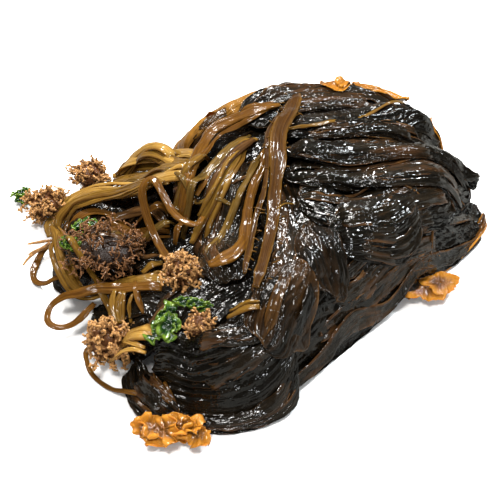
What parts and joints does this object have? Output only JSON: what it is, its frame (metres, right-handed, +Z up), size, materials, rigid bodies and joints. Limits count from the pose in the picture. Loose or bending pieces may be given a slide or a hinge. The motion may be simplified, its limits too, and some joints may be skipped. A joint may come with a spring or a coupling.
{
  "type": "tangled bunch of wakame seaweed",
  "caption": "Wet tangled bunch of wakame: pleated dark blades folded in a heap, tan strap stipes, frizzy root holdfasts.",
  "frame": {"origin": "middle of the bunch's own box, on the surface that it lies on", "axes": "+Z up; +X towards the tips of the fanned blades, with the holdfasts at -X; +Y towards the back of the heap"},
  "size_m": [0.2996, 0.2608, 0.0821],
  "materials": {
    "blade": "wet near-black brown-green sheet, strong small highlights",
    "blade_brown": "wet translucent red-brown sheet",
    "blade_thin": "wet translucent amber sheet",
    "stipe": "wet golden-tan strap, fine lengthwise lines",
    "holdfast": "damp tan-brown branching root ends",
    "root": "damp dark purple-brown matted roots",
    "lettuce": "wet thin green ruffled sheet"
  },
  "bodies": {
    "root": {"blade_under_outer": "blade", "blade_under_middle": "blade", "blade_under_inner": "blade", "blade_under_front": "blade", "blade_under_left": "blade", "blade_under_front_left": "blade", "blade_over_back": "blade", "blade_over_middle": "blade", "blade_over_front": "blade", "blade_edge_right": "blade", "blade_back_left": "blade", "blade_back": "blade", "blade_front_left": "blade", "blade_lobe_front_left": "blade", "blade_centre": "blade", "blade_centre_left": "blade", "blade_middle_right": "blade", "blade_crumpled": "blade", "blade_tail_low": "blade", "blade_tail_middle": "blade", "blade_tail_high": "blade", "blade_lobe_brown": "blade_brown", "blade_lobe_red": "blade_brown", "blade_tip_front": "blade_thin", "blade_tip_back": "blade_thin", "blade_tip_back_right": "blade_thin", "blade_tip_right": "blade_thin", "blade_tip_low": "blade_thin", "stipe_back_upper": "stipe", "stipe_back_wide": "stipe", "stipe_back_lower": "stipe", "stipe_arch_under": "stipe", "stipe_arch_outer": "stipe", "stipe_arch_inner": "stipe", "stipe_swag": "stipe", "stipe_front_stub": "stipe", "stipe_loop_left": "stipe", "stipe_bow_left": "stipe", "stipe_loop_front": "stipe", "stipe_to_front_root": "stipe", "stipe_serrated": "stipe", "stipe_front_wide": "stipe", "stipe_thin_front": "stipe", "stipe_long_left": "stipe", "stipe_long_thin": "stipe", "stipe_long_bow": "stipe", "stipe_loop_middle": "stipe", "stipe_midrib": "stipe", "stipe_midrib_branch": "stipe", "holdfast_back": "holdfast", "holdfast_left": "holdfast", "holdfast_middle": "holdfast", "holdfast_front": "holdfast", "holdfast_small": "holdfast", "holdfast_dark": "root", "lettuce_left": "lettuce", "lettuce_middle": "lettuce", "lettuce_root": "lettuce", "lettuce_front": "lettuce", "lettuce_holdfast": "lettuce"}
  },
  "joints": []
}
